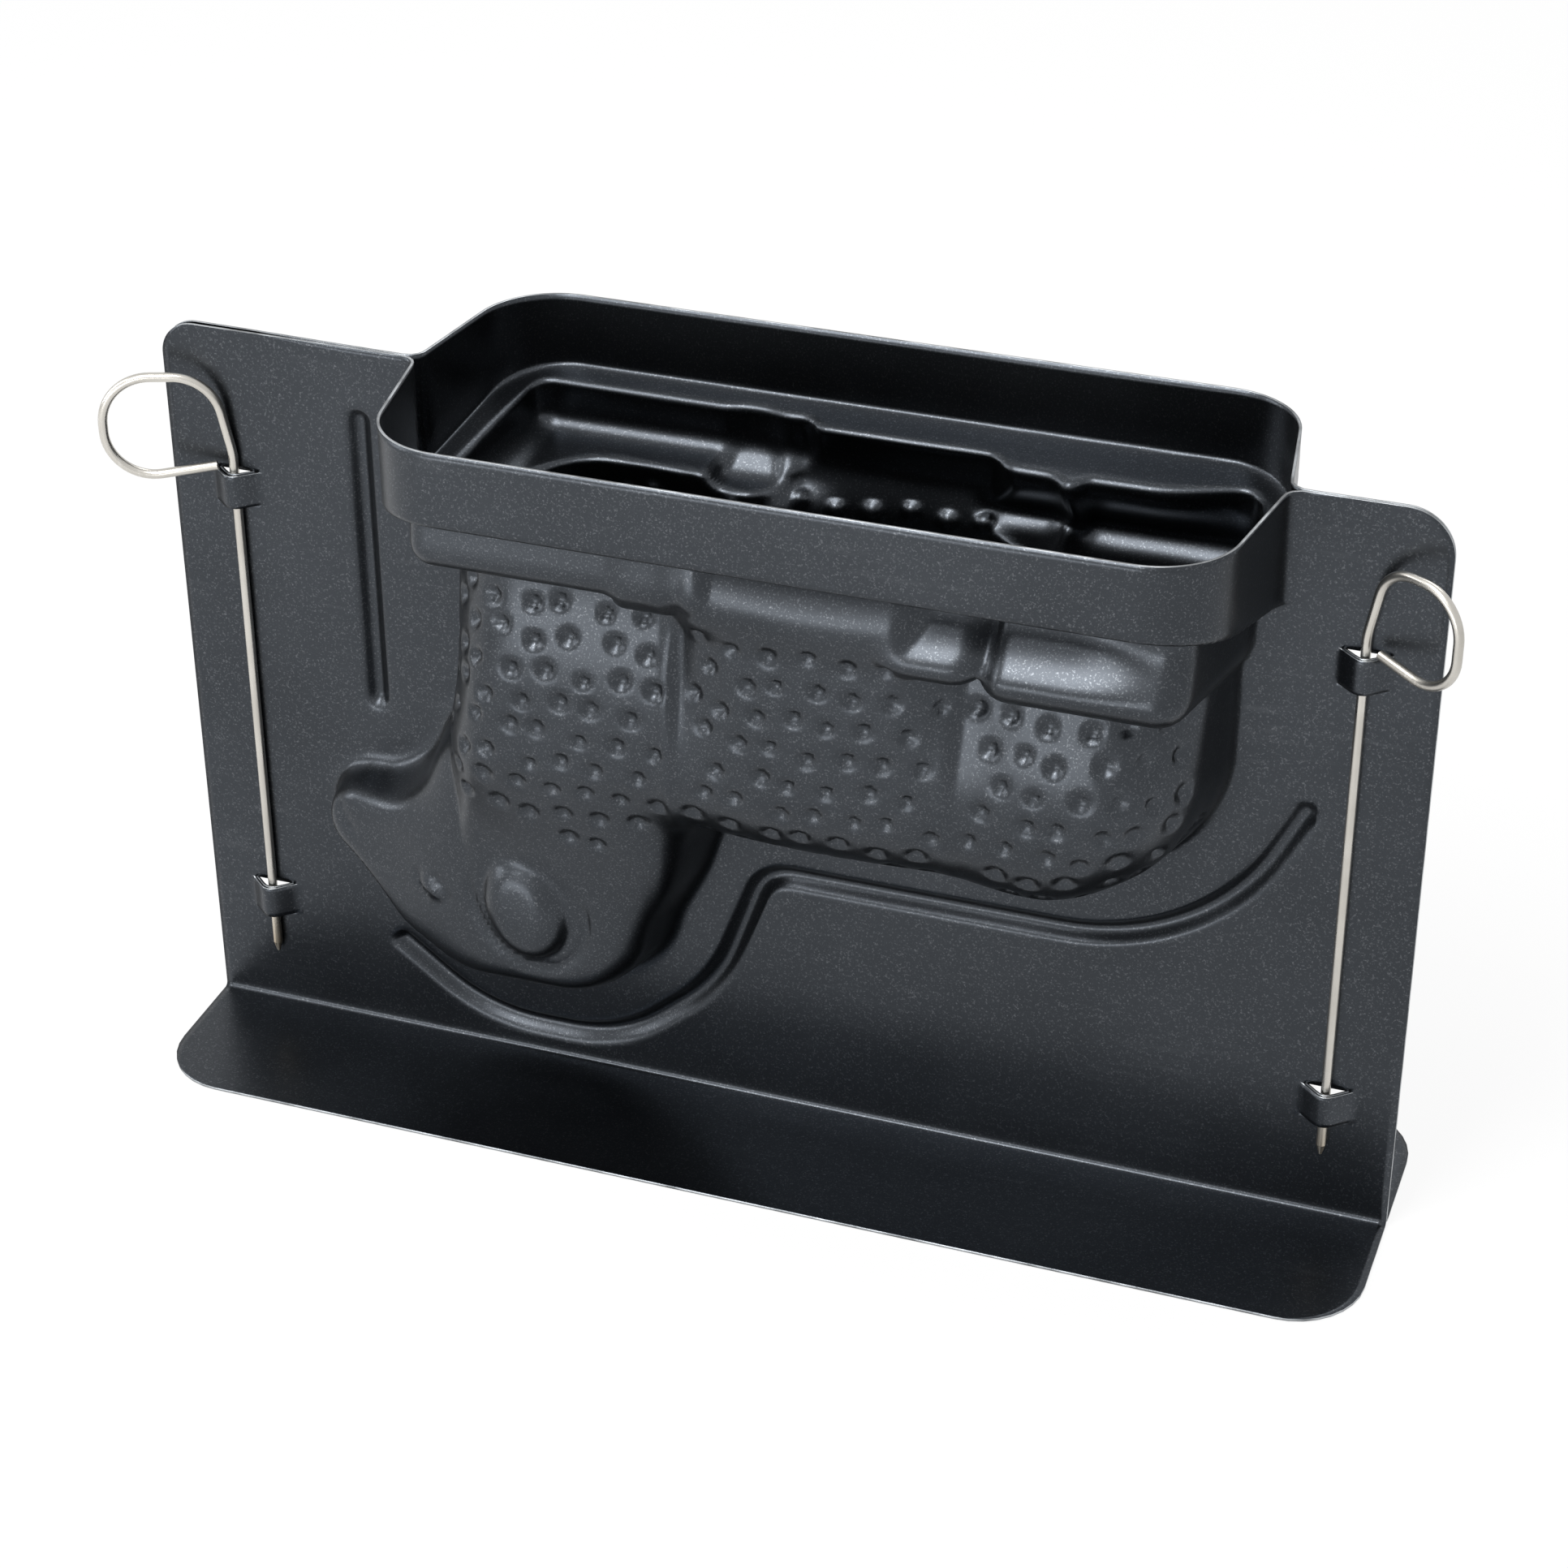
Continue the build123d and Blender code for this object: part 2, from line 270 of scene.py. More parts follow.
def wall_profile(inside, depth, draft, edge_round, base=FACE, foot_round=FOOT_ROUND):
    """The height of a drafted wall at a distance inside its outline, with its foot and edge rounded."""
    lean = radians(draft)
    turn = tan((pi / 2 - lean) / 2)
    corner = depth * tan(lean)
    flat_from = corner + edge_round * turn
    wall_to = corner - edge_round * turn * sin(lean)
    sunk = flat_from - np.clip(inside, wall_to, flat_from)
    arc = depth - edge_round + np.sqrt(np.maximum(edge_round ** 2 - sunk ** 2, 0))
    height = np.where(inside < wall_to, inside / tan(lean), np.where(inside < flat_from, arc, depth))
    foot_from = base * tan(lean) - foot_round * turn
    foot_to = base * tan(lean) + foot_round * turn * sin(lean)
    risen = np.clip(inside, foot_from, foot_to) - foot_from
    curve = base + foot_round - np.sqrt(np.maximum(foot_round ** 2 - risen ** 2, 0))
    return np.where(inside < foot_from, base, np.where(inside < foot_to, curve, height))


def corner_fill(a, b, width):
    """How much is filled in where two surfaces meet, within a width of each other."""
    near = np.clip(1 - np.abs(a - b) / np.maximum(width, 1e-6), 0, 1)
    return near * near * width / 4


def join_up(a, b, width):
    """The higher of two heights, with the crease between them filled in, but not down at the flange."""
    full_fill = 8
    room = np.clip((np.minimum(a, b) - FACE) / full_fill, 0, 1) * width
    return np.maximum(a, b) + corner_fill(a, b, room)


def join_down(a, b, width):
    """The lower of two heights, with the edge between them rounded."""
    return np.minimum(a, b) - corner_fill(a, b, width)


def fuller(a, b, width):
    """The larger of two distances inside, with the corner between two outlines filled in."""
    return np.maximum(a, b) + corner_fill(a, b, width)


def hump(value, middle, half):
    """A smooth rise from 0 to 1 and back round a middle."""
    share = np.clip(np.abs(value - middle) / half, 0, 1)
    return (1 - share ** 2) ** 2


def ramp(value, low, high):
    """A smooth change from 0 at low to 1 at high."""
    share = np.clip((value - low) / (high - low), 0, 1)
    return share * share * (3 - 2 * share)


def body_inside(x, z):
    """The distance inside the outline of the body, with its back at the bottom."""
    low_z = z + 2.4 * hump(x, 74, 24) + 1.0 * hump(x, 22, 34)
    left, right, low = BODY_LEFT, BODY_RIGHT, BODY_BACK
    chest = [(left, MOUTH), (left, low), (right, low), (right, MOUTH)]
    rump = [(BEYOND_LEFT, BEYOND_TOP), (BEYOND_LEFT, low), (right, low), (right, BEYOND_TOP)]
    chest_in = inside_polygon(x, low_z, chest, CHEST_ROUND)
    return np.minimum(chest_in, inside_polygon(x, low_z, rump, RUMP_ROUND))


def body_height(x, z, inside):
    """The woolly body with the chest and neck, in full blocks that each step down to the next one."""
    height = wall_profile(inside, BODY_DEPTH, draft=12, edge_round=24)
    full = BLOCK_RISE * sum(hump(x, middle, half) for middle, half in WOOL_BLOCKS) * hump(z, 138, 48)
    middle_block = ramp(x, -20, -6) * (1 - ramp(x, 42, 58))
    dip = END_FALL * (1 - middle_block) * ramp(z, 127, 170) - MIDDLE_RISE * middle_block * ramp(z, 158, 173)
    under_legs = 1 - ramp(z, 158, 167)
    over_back = 0.3 + 0.7 * ramp(z, 122, 148)
    for place, drop in zip(FURROWS, FURROW_DROPS):
        low = place - FURROW_LOW
        step = ramp(x, place - FURROW_START, low) * (1 - ramp(x, low, place + FURROW_END))
        dip = dip + drop * step * under_legs * over_back * ramp(z, 94, 106)
    height = height + full * ramp(height, 25, 37) - dip * ramp(height, 10, 32)
    slope = BODY_DEPTH - NECK_SLOPE * np.maximum(116 - z, 0) + 30 * ramp(x, -20, 4)
    slope = slope - CHEST_SLOPE * np.maximum(-58 - x, 0) * ramp(-z, -112, -82)
    return join_down(height, slope, 6.0)


def limb_height(x, z, limb):
    """One folded leg or hoof."""
    box = [(limb.left, MOUTH), (limb.left, limb.underside), (limb.right, limb.underside), (limb.right, MOUTH)]
    inside = inside_polygon(x, z, box, limb.corner)
    return wall_profile(inside, limb.depth, draft=10, edge_round=limb.edge_round)


def legs_height(x, z):
    """The folded legs with their hooves, which fall back towards the collar."""
    fore = join_up(limb_height(x, z, FORE_LEG), limb_height(x, z, FORE_HOOF), 5.0)
    ankle = ANKLE_CREASE * hump(x, 66, 3.2) * ramp(z, 160, 166)
    hind = join_up(limb_height(x, z, HIND_LEG), limb_height(x, z, HIND_HOOF), 3.0) - ankle
    fore = fore - FORE_FALL * ramp(z, 172, 185) * ramp(fore, 10, 36)
    fall_back = HIND_FALL * (1 - 0.55 * ramp(x, 84, 114)) * ramp(z, 163.5, 179.5)
    hind = hind - fall_back * ramp(hind, 10, 36)
    return join_up(fore, hind, 2.0)


def head_height(x, head_in, muzzle_in):
    """The smooth head, which gets flatter towards the muzzle."""
    head = wall_profile(fuller(head_in, muzzle_in, 14), HEAD_DEPTH, draft=12, edge_round=14)
    return join_down(head, CHEEK_DEPTH - CHEEK_SLOPE * np.maximum(-74 - x, 0), 6.0)


def with_ear(x, z, height):
    """The head's height with the raised ear, and the crease round the ear's lower end."""
    across = x - EAR_X + EAR_LEAN * (z - EAR_Z)
    up = z - EAR_Z
    share = np.hypot(across / EAR_HALF, up / EAR_REACH)
    ear_in = np.hypot(across, up) * (1 / np.maximum(share, 1e-3) - 1)
    ear = wall_profile(ear_in, EAR_DEPTH, draft=12, edge_round=8, base=0.0, foot_round=0.01)
    ear = ear + EAR_LIFT - EAR_SINK * ramp(z, 62, 84)
    crease = EAR_CREASE * np.exp(-((ear_in + 0.9) / 1.2) ** 2) * (1 - ramp(z, 62, 74)) * ramp(height, 15, 24)
    return join_up(height - crease, np.where(ear_in > 0, ear, FACE), 0.8)


def with_face(x, z, height):
    """The head's height with the almond eye in its rim, and the crease between the lips."""
    across = (x - EYE_X) * cos(EYE_TILT) - (z - EYE_Z) * sin(EYE_TILT)
    up = (x - EYE_X) * sin(EYE_TILT) + (z - EYE_Z) * cos(EYE_TILT)
    eye = np.abs(across / EYE_HALF) ** 1.6 + np.abs(up / EYE_REACH) ** 1.6
    height = height + EYE_BULGE * np.sqrt(np.clip(1 - eye, 0, 1)) - EYE_RIM * hump(eye, 1.3, 0.6)
    return height - LIP_DEPTH * hump(path_distance(x, z, LIP), 0, 1.5) * ramp(height, 5, 12)


def collar_height(x, z):
    """The straight band round the mouth."""
    inside = np.minimum(x - COLLAR_LEFT, COLLAR_RIGHT - x)
    ends = wall_profile(inside, COLLAR_DEPTH, draft=8.5, edge_round=21, foot_round=4.0)
    sill = wall_profile(z - SILL, 90, draft=11.5, edge_round=1.6)
    return join_down(ends, sill, 7.0)


def lamb_height(x, z):
    """How far the sheet's outer face stands out from the parting plane."""
    body_in = body_inside(x, z)
    neck_in = inside_polygon(x, z, NECK_OUTLINE, NECK_ROUND)
    muzzle_in = inside_polygon(x, z, MUZZLE_OUTLINE, MUZZLE_ROUND)
    head_in = inside_polygon(x, z, HEAD_OUTLINE, HEAD_ROUND)
    nape_in = head_in - 30 * ramp(-x, 38, 66)
    height = body_height(x, z, fuller(fuller(body_in, neck_in, TORSO_BLEND), nape_in, 12))
    throat_in = fuller(fuller(body_in, neck_in, 4), muzzle_in, 20)
    height = join_up(height, wall_profile(throat_in, THROAT_DEPTH, draft=11, edge_round=6), 5.0)
    height = join_up(height, head_height(x, head_in, muzzle_in), 8.0)
    leg_blend = 1.6 + 5 * (hump(x, 30, 22) + hump(x, -4, 16))
    height = join_up(height, legs_height(x, z), leg_blend)
    height = with_face(x, z, with_ear(x, z, height))
    return join_up(height, collar_height(x, z), 1.6)


def lamb_normal(x, z):
    """The direction out of the drawn face, as x, y and z with y towards the viewer."""
    step = 0.05
    rise_x = (lamb_height(x + step, z) - lamb_height(x - step, z)) / (2 * step)
    rise_z = (lamb_height(x, z + step) - lamb_height(x, z - step)) / (2 * step)
    size = np.sqrt(rise_x ** 2 + rise_z ** 2 + 1)
    return -rise_x / size, 1 / size, -rise_z / size


# Grooves and dents

def rounded_path(points, rounds, step=0.8):
    """Points along a line of straight runs with rounded corners."""
    points = [np.array(p, float) for p in points]
    line = [points[0]]
    for k in range(1, len(points) - 1):
        before = points[k - 1] - points[k]
        after = points[k + 1] - points[k]
        before /= np.linalg.norm(before)
        after /= np.linalg.norm(after)
        turn = np.arccos(np.clip(before @ after, -1, 1))
        reach = rounds[k - 1] / tan(turn / 2)
        centre = points[k] + (before + after) / np.linalg.norm(before + after) * rounds[k - 1] / sin(turn / 2)
        start = points[k] + before * reach - centre
        end = points[k] + after * reach - centre
        sweep = np.arctan2(start[0] * end[1] - start[1] * end[0], start @ end)
        count = max(2, int(abs(sweep) * rounds[k - 1] / step))
        for share in np.linspace(0, 1, count + 1):
            angle = sweep * share
            spin = np.array([[cos(angle), -sin(angle)], [sin(angle), cos(angle)]])
            line.append(centre + spin @ start)
    line.append(points[-1])
    return line


def path_distance(x, z, line):
    """The distance of each place from a line of points."""
    gap = np.full(x.shape, FAR)
    for start, end in zip(line, line[1:]):
        gap = np.minimum(gap, run_distance(x, z, start, end))
    return gap


RIB = [np.array((-111.4, 184.5)), np.array((-111.4, 104.5))]
LIP = [np.array(p) for p in ((-119.5, 82.0), (-118.6, 78.0), (-117.0, 74.0), (-114.6, 70.5))]
SWEEP = rounded_path(
    [(-108.5, 28), (-84.5, 9.6), (-46, 9.6), (-17.3, 34.3), (-3.5, 72.3), (112.3, 72.3), (135.5, 118.5)],
    [45, 40, 50, 10, 60], 3.0)


def groove_depth(x, z):
    """How deep the stiffening grooves are sunk towards the back."""
    gap = np.minimum(path_distance(x, z, RIB), path_distance(x, z, SWEEP))
    return GROOVE_DEPTH * (1 - ramp(gap, 0.2, GROOVE_HALF)), gap


def wool_area(x, z):
    """1 where the sheet is dented for wool, and 0 elsewhere."""
    above_head = z > 100 - 0.42 * (x + 68.6)
    neck_in = inside_polygon(x, z, NECK_OUTLINE, NECK_ROUND)
    torso_in = fuller(body_inside(x, z), neck_in, TORSO_BLEND)
    legs = legs_height(x, z) > body_height(x, z, torso_in) - 1.6
    furrow = np.minimum(np.abs(x - FURROWS[0] + 1.5), np.abs(x - FURROWS[1] + 1.5)) < FURROW_HALF
    edge = (x < -82.6) | (x > 112) | (z > 164) | (lamb_height(x, z) < 9)
    nape = (x > -27) & (x < -14) & (z < 99)
    return above_head & ~legs & ~furrow & ~edge & ~nape


def dent_places():
    """The middle of every dent in the wool, in rows that are staggered by half a step."""
    scatter = np.random.default_rng(7)
    places = []
    for row in range(WOOL_ROWS):
        level = WOOL_TOP - DENT_ROW * row
        fine_x = np.arange(WOOL_LEFT, BODY_RIGHT, 0.1)
        fine_z = np.full_like(fine_x, level)
        height = lamb_height(fine_x, fine_z)
        length = np.concatenate([[0], np.cumsum(np.hypot(np.diff(fine_x), np.diff(height)))])
        spots = np.arange(3.0 + (row % 2) * DENT_STEP / 2, length[-1], DENT_STEP)
        spots = spots + scatter.uniform(-1.5, 1.5, len(spots))
        x = np.interp(spots, length, fine_x)
        z = level + scatter.uniform(-1.4, 1.4, len(spots))
        width = scatter.uniform(0.84, 1.14, len(spots))
        keep = wool_area(x, z)
        places += list(zip(x[keep], lamb_height(x, z)[keep], z[keep], width[keep]))
    return places


def dent_depths(x, y, z, places, width):
    """How far each point is pushed in by the dents near it."""
    depth = np.zeros_like(x)
    for px, py, pz, size in places:
        near = (np.abs(x - px) < width) & (np.abs(z - pz) < width)
        gap = np.sqrt((x[near] - px) ** 2 + (y[near] - py) ** 2 + (z[near] - pz) ** 2)
        share = np.clip(gap / (width / 2 * size), 0, 1)
        depth[near] = np.maximum(depth[near], (1 - share ** 2) * (1 - share ** 10))
    return depth


# Mesh lines

def form_lines(rows, columns):
    """The first lines of the drawn form's mesh, closer together at the plate's round corners."""
    shares = ((FORM_LOW, 20), (LOOP_FEET[0], 8), (LOOP_FEET[0] + LOOP_HEIGHT, 88), (LOOP_FEET[1], 8),
              (LOOP_FEET[1] + LOOP_HEIGHT, 24), (TOP - RUMP_SIDE_CORNER, 0))
    levels = []
    for (low, count), (high, _) in zip(shares, shares[1:]):
        levels += list(np.linspace(low, high, count * rows // ROWS + 1)[:-1])
    arc = np.linspace(0, pi / 2, 16 * rows // ROWS + 1)
    levels += list(TOP - RUMP_SIDE_CORNER + RUMP_SIDE_CORNER * np.sin(arc))
    return np.linspace(FORM_LEFT, FORM_RIGHT, columns + 1), np.array(levels)


def settle(x, z, rounds):
    """Move the mesh lines so that the drawn sheet gets even cells, and the wool and grooves finer ones."""
    for _ in range(rounds):
        height = lamb_height(x, z)
        _, gap = groove_depth(x, z)
        fine = PLATE_WEIGHT + FORM_WEIGHT * ramp(height, 1.0, 6.0) + GROOVE_WEIGHT * (gap < 4.6)
        fine = fine + WOOL_WEIGHT * ((height > 10) & (z < 168) & (z > 88) & (x > WOOL_LEFT) & (x < 114))
        fine = fine + SILL_WEIGHT * ((np.abs(z - 184) < 4) & (height > 30))

        def pull(a, b):
            plan = np.hypot(x[b] - x[a], z[b] - z[a]) + 0.02
            slope = np.minimum(np.abs(height[b] - height[a]) / plan, STEEPEST)
            return softened((fine[a] + fine[b]) / 2 * np.sqrt(1 + slope ** 2))

        left, right = np.s_[:, :-1], np.s_[:, 1:]
        low, high = np.s_[:-1, :], np.s_[1:, :]
        across = pull(left, right)
        upward = pull(low, high)
        total = np.zeros_like(x)
        sum_x = np.zeros_like(x)
        sum_z = np.zeros_like(x)
        for weight, a, b in ((across, left, right), (upward, low, high)):
            total[a] += weight
            sum_x[a] += weight * x[b]
            sum_z[a] += weight * z[b]
            total[b] += weight
            sum_x[b] += weight * x[a]
            sum_z[b] += weight * z[a]
        x[1:, 1:-1] += SETTLE_SHARE * (sum_x / total - x)[1:, 1:-1]
        z[1:-1, 1:-1] += SETTLE_SHARE * (sum_z / total - z)[1:-1, 1:-1]
    return x, z


def softened(values):
    """The same values, each mixed with its neighbours both ways."""
    for _ in range(2):
        wide = np.pad(values, 1, mode="edge")
        values = (wide[:-2] + 2 * wide[1:-1] + wide[2:])[:, 1:-1] / 4
        wide = np.pad(values, 1, mode="edge")
        values = (wide[:, :-2] + 2 * wide[:, 1:-1] + wide[:, 2:])[1:-1] / 4
    return values


def finer(values):
    """The same surface of values with twice the lines each way."""
    rows, columns = values.shape
    wide = np.empty((rows, 2 * columns - 1))
    wide[:, ::2] = values
    wide[:, 1::2] = (values[:, 1:] + values[:, :-1]) / 2
    tall = np.empty((2 * rows - 1, 2 * columns - 1))
    tall[::2] = wide
    tall[1::2] = (wide[1:] + wide[:-1]) / 2
    return tall


def fixed_sides(x, z, xs, zs):
    """Put the lines that meet the flange back on its own lines."""
    x[:, 0], x[:, -1] = xs[0], xs[-1]
    z[:, 0], z[:, -1] = zs, zs
    x[0, :] = xs
    z[0, :], z[-1, :] = zs[0], zs[-1]
    return x, z


def form_mesh_lines(rows, columns):
    """The settled lines of the drawn form."""
    xs, zs = form_lines(rows, columns)
    x, z = np.meshgrid(xs[::4], zs[::4])
    coarse, middle, fine = SETTLE_ROUNDS
    x, z = settle(x, z, coarse)
    for skip, rounds in ((2, middle), (1, fine)):
        x, z = fixed_sides(finer(x), finer(z), xs[::skip], zs[::skip])
        x, z = settle(x, z, rounds)
    return x, z


def side_lines(side):
    """The upright mesh lines of the plate beside the drawn form, from left to right."""
    before = [LOOP_PLACE - s for s in LOOP_STEPS]
    after = [LOOP_PLACE + s for s in reversed(LOOP_STEPS)]
    lines = before + [LOOP_PLACE] + after + [HALF_WIDTH - 6, HALF_WIDTH - 2, HALF_WIDTH]
    return [side * place for place in lines][::side]


def foot_lines():
    """The mesh lines across the foot, as lengths from the end of its bend."""
    corner = FOOT_CORNER * (1 - np.cos(np.linspace(0, pi / 2, 9)))
    flat = list(np.linspace(0, FOOT_FLAT - FOOT_CORNER, 3)[:-1])
    return flat + list(FOOT_FLAT - corner[::-1])


def sheet_lines(rows, columns):
    """Every mesh line of one half: its place across, and its place up along the sheet from the bend."""
    x, z = form_mesh_lines(rows, columns)
    left = side_lines(-1)
    right = side_lines(1)
    levels = z[:, 0]
    bend = np.linspace(0, BEND_LENGTH, 5)[1:-1]
    below = [-v - BEND_LENGTH for v in foot_lines()[::-1]] + [-v for v in bend[::-1]] + [0.0]
    low_x = np.concatenate([left, x[0], right])
    low_v = np.array(below + [1.2])
    plate_low = BEND + SHEET
    beside = (levels - plate_low)[:, None]
    upper_v = np.hstack([np.tile(beside, (1, len(left))), z - plate_low, np.tile(beside, (1, len(right)))])
    upper_x = np.hstack([np.tile(left, (len(levels), 1)), x, np.tile(right, (len(levels), 1))])
    v = np.concatenate([np.tile(low_v[:, None], (1, len(low_x))), upper_v])
    return np.concatenate([np.tile(low_x, (len(low_v), 1)), upper_x]), v


def rounded_width(across, v):
    """Bring the mesh lines in to the rounded corners of the plate and the foot."""
    top = TOP - BEND - SHEET
    tip = -FOOT_FLAT - BEND_LENGTH
    limit = np.where(across < 0, HEAD_SIDE_CORNER, RUMP_SIDE_CORNER)
    short = np.clip(v - (top - limit), 0, limit)
    take = limit - np.sqrt(np.maximum(limit ** 2 - short ** 2, 0))
    short = np.clip(tip + FOOT_CORNER - v, 0, FOOT_CORNER)
    take = take + FOOT_CORNER - np.sqrt(np.maximum(FOOT_CORNER ** 2 - short ** 2, 0))
    inner = np.where(across < 0, -FORM_LEFT, FORM_RIGHT)
    inner = np.where(v < 0, 0.0, inner)
    share = np.clip((np.abs(across) - inner) / (HALF_WIDTH - inner), 0, 1)
    return across - np.sign(across) * take * share


# The mesh of one half

def sheet_places(across, v):
    """The outer face of the front half, with y as the depth towards the viewer, and its grooves."""
    turn = np.clip(-v / BEND, 0, pi / 2)
    z = np.where(v > 0, v + BEND + SHEET, SHEET + BEND * (1 - np.sin(turn)))
    out = np.where(v > 0, 0, BEND * (1 - np.cos(turn)) + np.maximum(-v - BEND_LENGTH, 0))
    height = np.where(v > 0, lamb_height(across, z), FACE) + out
    groove, _ = groove_depth(across, z)
    return height, z, np.where(v > 0, groove, 0)


def build_half(settings, lines, name, body, node, front):
    """One pressed half as a single sheet, with its loops lanced towards the front."""
    across, v, height, z, groove, dents, normal = lines
    side = -1 if front else 1
    rows, columns = across.shape
    dent = dents * settings.dent_depth / MM
    x = across - normal[0] * dent
    y = side * (height - normal[1] * dent) + groove
    level = z - normal[2] * dent
    if not front:
        y = y + BACK_SPRING * ramp(-across, 95, 160) * ramp(z, 110, 200)
    bm = bmesh.new()
    bmesh.ops.create_grid(bm, x_segments=columns - 1, y_segments=rows - 1, size=1)
    grid = {}
    for vert in bm.verts:
        i = round((vert.co.x + 1) / 2 * (columns - 1))
        j = round((vert.co.y + 1) / 2 * (rows - 1))
        grid[j, i] = vert
        vert.co = (x[j, i], y[j, i], level[j, i])
    cut_loops(bm, across, z, v, grid, FRONT_STRIP if front else BACK_STRIP)
    if not front:
        bmesh.ops.reverse_faces(bm, faces=bm.faces)
    bmesh.ops.scale(bm, vec=(MM, MM, MM), verts=bm.verts)
    piece = finished_object(bm, name)
    wall = piece.modifiers.new("Sheet", "SOLIDIFY")
    wall.thickness = settings.thickness
    wall.offset = -1
    wall.use_even_offset = True
    wall.material_offset_rim = 1
    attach(piece, body)
    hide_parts(node)
    return piece


def cut_loops(bm, across, z, v, grid, strip):
    """Slit the sheet above and below each loop, and push the strip between out towards the front."""
    rows, columns = across.shape
    line_at = {round(z[j, 0], 3): j for j in range(rows) if v[j, 0] > 0}
    slits = []
    places = []
    for foot in LOOP_FEET:
        for centre in (-LOOP_PLACE, LOOP_PLACE):
            places.append((centre, foot, foot + LOOP_HEIGHT))
            for level in (foot, foot + LOOP_HEIGHT):
                j = line_at[round(level, 3)]
                inside = [i for i in range(columns) if abs(across[j, i] - centre) < LOOP_HALF + 0.01]
                slits += [bm.edges.get((grid[j, i], grid[j, i + 1])) for i in inside[:-1]]
    bmesh.ops.split_edges(bm, edges=slits)
    for place, low, high in places:
        faces = [f for f in bm.faces if abs(f.calc_center_median().x - place) < LOOP_HALF
                 and low < f.calc_center_median().z < high]
        for vert in {vert for f in faces for vert in f.verts}:
            vert.co.y -= float(strip_rise(abs(vert.co.x - place), strip))


def strip_rise(away, strip):
    """How far a strip stands out of the plate at a distance from its middle, with its bends rounded."""
    straight = strip.rise * np.clip((strip.half - away) / (strip.half - strip.crown), 0, 1)
    soft_top = np.clip(1 - np.abs(away - strip.crown) / 1.4, 0, 1)
    soft_root = np.clip(1 - np.abs(away - strip.half) / 1.6, 0, 1) * (away < strip.half - 0.01)
    return np.maximum(straight - 0.25 * soft_top ** 2 + 0.12 * soft_root ** 2, 0)


def finished_object(bm, name):
    """A smooth object at the origin from a finished bmesh."""
    mesh = bpy.data.meshes.new(name)
    for face in bm.faces:
        face.smooth = True
    bm.to_mesh(mesh)
    bm.free()
    piece = bpy.data.objects.new(name, mesh)
    bpy.context.scene.collection.objects.link(piece)
    return piece


SHEET_LINES = {}


def shared_lines(settings):
    """The settled mesh of the drawn sheet, made once for the settings that both halves share."""
    key = (settings.rows, settings.columns, settings.dent_width)
    if key not in SHEET_LINES:
        across, v = sheet_lines(settings.rows, settings.columns)
        across = rounded_width(across, v)
        height, z, groove = sheet_places(across, v)
        dents = dent_depths(across, height, z, dent_places(), settings.dent_width / MM)
        SHEET_LINES[key] = (across, v, height, z, groove, np.where(v > 0, dents, 0), lamb_normal(across, z))
    return SHEET_LINES[key]


# Materials

def new_group(name, inputs, outputs):
    """A shader node group with named values in and out."""
    group = bpy.data.node_groups.new(name, "ShaderNodeTree")
    for label, kind, default in inputs:
        socket = group.interface.new_socket(label, in_out="INPUT", socket_type=kind)
        if default is not None:
            socket.default_value = default
    for label, kind in outputs:
        group.interface.new_socket(label, in_out="OUTPUT", socket_type=kind)
    return group, group.nodes.new("NodeGroupInput"), group.nodes.new("NodeGroupOutput")


def add(nodes, kind, **values):
    """A node with its settings, and its input values given by name or number."""
    node = nodes.new(kind)
    for key, value in values.pop("inputs", {}).items():
        node.inputs[key].default_value = value
    for key, value in values.items():
        setattr(node, key, value)
    return node


def grain_group():
    """Fine grain: flakes, a mottled tone and the height of the skin, at a given size."""
    name = "Fine Grain"
    if name in bpy.data.node_groups:
        return bpy.data.node_groups[name]
    group, source, result = new_group(
        name,
        [("Vector", "NodeSocketVector", None), ("Grain Scale", "NodeSocketFloat", 2000.0),
         ("Cover", "NodeSocketFloat", 0.5), ("Mottle Scale", "NodeSocketFloat", 30.0)],
        [("Flakes", "NodeSocketFloat"), ("Mottle", "NodeSocketFloat"), ("Height", "NodeSocketFloat")])
    nodes, links = group.nodes, group.links
    fine = add(nodes, "ShaderNodeTexNoise", inputs={"Detail": 2.0, "Roughness": 0.6})
    broad = add(nodes, "ShaderNodeTexNoise", inputs={"Detail": 3.0, "Roughness": 0.55})
    links.new(source.outputs["Vector"], fine.inputs["Vector"])
    links.new(source.outputs["Vector"], broad.inputs["Vector"])
    links.new(source.outputs["Grain Scale"], fine.inputs["Scale"])
    links.new(source.outputs["Mottle Scale"], broad.inputs["Scale"])
    past = add(nodes, "ShaderNodeMath", operation="SUBTRACT", inputs={0: 1.0})
    links.new(source.outputs["Cover"], past.inputs[1])
    sharp = add(nodes, "ShaderNodeMapRange", inputs={"From Max": 0.85})
    links.new(fine.outputs["Fac"], sharp.inputs["Value"])
    links.new(past.outputs[0], sharp.inputs["From Min"])
    links.new(sharp.outputs["Result"], result.inputs["Flakes"])
    links.new(broad.outputs["Fac"], result.inputs["Mottle"])
    links.new(fine.outputs["Fac"], result.inputs["Height"])
    return group


